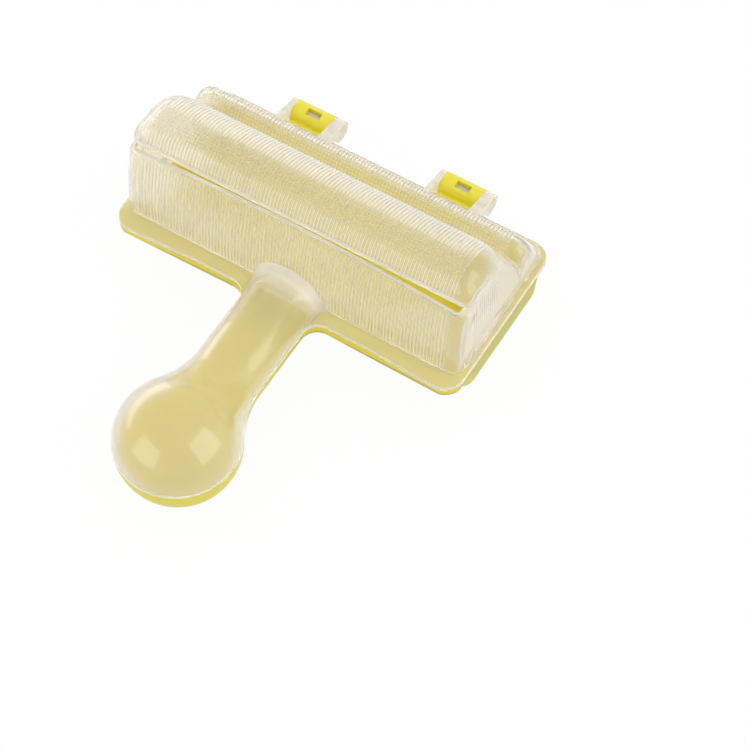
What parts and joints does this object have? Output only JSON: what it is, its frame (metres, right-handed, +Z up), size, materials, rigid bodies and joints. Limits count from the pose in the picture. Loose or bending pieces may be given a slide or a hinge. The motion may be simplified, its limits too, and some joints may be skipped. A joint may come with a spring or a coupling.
{
  "type": "sushi rice mould",
  "caption": "Hand-held shaker mould for rice rolls: a translucent vaulted shell with a front slit, snap-hinged to a yellow tray, with a split tubular handle ending in a ball.",
  "frame": {"origin": "on the flat underside of the tray, below the middle of the flanges", "axes": "+X along the roll, +Y from the handle towards the hinges, +Z up"},
  "size_m": [0.1374, 0.1611, 0.0649],
  "materials": {
    "yellow_pp": "moulded polypropylene, opaque yellow, satin",
    "frosted_pp": "moulded polypropylene, natural, translucent, frosted by fine ribs"
  },
  "bodies": {
    "tray": {"lower_shell": "yellow_pp"},
    "roof": {"upper_shell": "frosted_pp"}
  },
  "joints": [
    {"name": "shell_hinge", "type": "hinge", "parent": "tray", "child": "roof", "pos_m": [0, 0.0397, 0.0225], "axis": [-1, 0, 0], "range_deg": [0, 150]}
  ]
}
